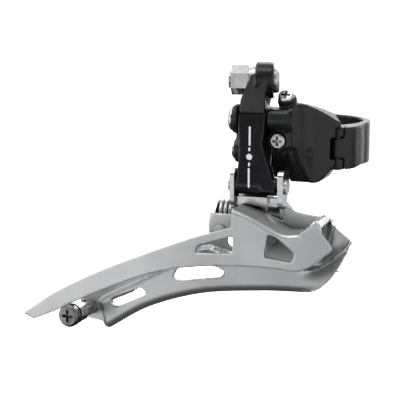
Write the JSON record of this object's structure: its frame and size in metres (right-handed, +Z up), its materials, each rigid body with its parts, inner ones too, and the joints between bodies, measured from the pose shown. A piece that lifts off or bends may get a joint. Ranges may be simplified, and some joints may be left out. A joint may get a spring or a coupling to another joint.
{
  "type": "front derailleur",
  "caption": "Clamp-on front derailleur: a hinged seat tube band, a sprung parallelogram with a cable arm, and a two-plate chain cage.",
  "frame": {"origin": "on the seat tube's axis, at the middle of the clamp band's height", "axes": "+X forward to the cage's nose, +Y inward to the bicycle's centre plane, +Z up along the seat tube"},
  "size_m": [0.1087, 0.0784, 0.0873],
  "materials": {
    "black_body": "satin black anodised and lacquered",
    "black_link": "gloss black lacquer",
    "black_steel": "black oxide",
    "polished_steel": "polished stainless steel",
    "link_steel": "bright plated pressed steel",
    "screw_steel": "zinc plated steel",
    "spring_steel": "bright spring wire",
    "bronze": "sintered bronze",
    "black_plastic": "moulded nylon",
    "cage_silver": "satin nickel plated pressed steel"
  },
  "bodies": {
    "body": {"main_body": "black_body", "strap_hinge_pin": "polished_steel", "upper_outer_pin": "polished_steel", "upper_outer_washer": "black_steel", "upper_inner_pin": "polished_steel"},
    "strap": {"clamp_strap": "black_body", "clamp_bolt_washer": "polished_steel"},
    "clamp_screw": {"clamp_bolt": "polished_steel"},
    "outer_link": {"outer_link": "black_link", "outer_link_bushes": "bronze", "cable_anchor_bolt": "polished_steel", "cable_clamp_washer": "polished_steel", "cable_plain_washer": "polished_steel"},
    "anchor_nut": {"cable_anchor_nut": "polished_steel"},
    "inner_link": {"inner_link": "link_steel", "inner_link_bushes": "bronze"},
    "cage": {"cage_bracket": "link_steel", "bracket_rivets": "polished_steel", "outer_cage_plate": "cage_silver", "inner_cage_plate": "cage_silver", "lower_outer_pin": "polished_steel", "lower_inner_pin": "polished_steel", "return_spring": "spring_steel", "spring_sleeve": "black_plastic", "tail_spacer": "screw_steel", "tail_washer": "screw_steel", "tail_nut": "screw_steel"},
    "tail_screw": {"tail_screw": "screw_steel"},
    "limit_screw_inner": {"limit_screw_inner": "screw_steel"},
    "limit_screw_outer": {"limit_screw_outer": "screw_steel"}
  },
  "joints": [
    {"name": "link_swing", "type": "hinge", "parent": "body", "child": "outer_link", "pos_m": [-0.01, -0.03, 0.0094], "axis": [-1, 0, 0], "range_deg": [0, 23], "stiffness_Nm_per_rad": 0.8, "springref_deg": -28.65},
    {"name": "cage_swing", "type": "hinge", "parent": "outer_link", "child": "cage", "pos_m": [-0.007, -0.036, -0.01], "axis": [-1, 0, 0], "range_deg": [-23, 0]},
    {"name": "inner_link_swing", "type": "hinge", "parent": "body", "child": "inner_link", "pos_m": [-0.008, -0.0236, -0.001], "axis": [-1, 0, 0], "range_deg": [0, 23]},
    {"name": "strap_opening", "type": "hinge", "parent": "body", "child": "strap", "pos_m": [0.01403, -0.01733, 0], "axis": [0, 0, -1], "range_deg": [0, 50]},
    {"name": "clamp_bolt_turn", "type": "hinge", "parent": "strap", "child": "clamp_screw", "pos_m": [-0.01222, 0.02304, 0], "axis": [0.7771, 0.6293, 0], "continuous": true},
    {"name": "anchor_nut_turn", "type": "hinge", "parent": "outer_link", "child": "anchor_nut", "pos_m": [-0.0139, -0.02973, 0.0214], "axis": [0.9744, 0.225, 0], "continuous": true},
    {"name": "tail_screw_turn", "type": "hinge", "parent": "cage", "child": "tail_screw", "pos_m": [-0.06506, -0.03789, -0.0543], "axis": [0.1392, 0.9903, 0], "continuous": true},
    {"name": "limit_inner_turn", "type": "hinge", "parent": "body", "child": "limit_screw_inner", "pos_m": [0.0003, -0.028, 0.0165], "axis": [0, -0.7071, 0.7071], "range_deg": [-360, 360]},
    {"name": "limit_outer_turn", "type": "hinge", "parent": "body", "child": "limit_screw_outer", "pos_m": [-0.0013, -0.0314, 0.0031], "axis": [0, -1, 0], "range_deg": [-360, 360]}
  ],
  "couplings": [
    {"joint": "cage_swing", "follows": "link_swing", "ratio": -1},
    {"joint": "inner_link_swing", "follows": "link_swing", "ratio": 1}
  ]
}
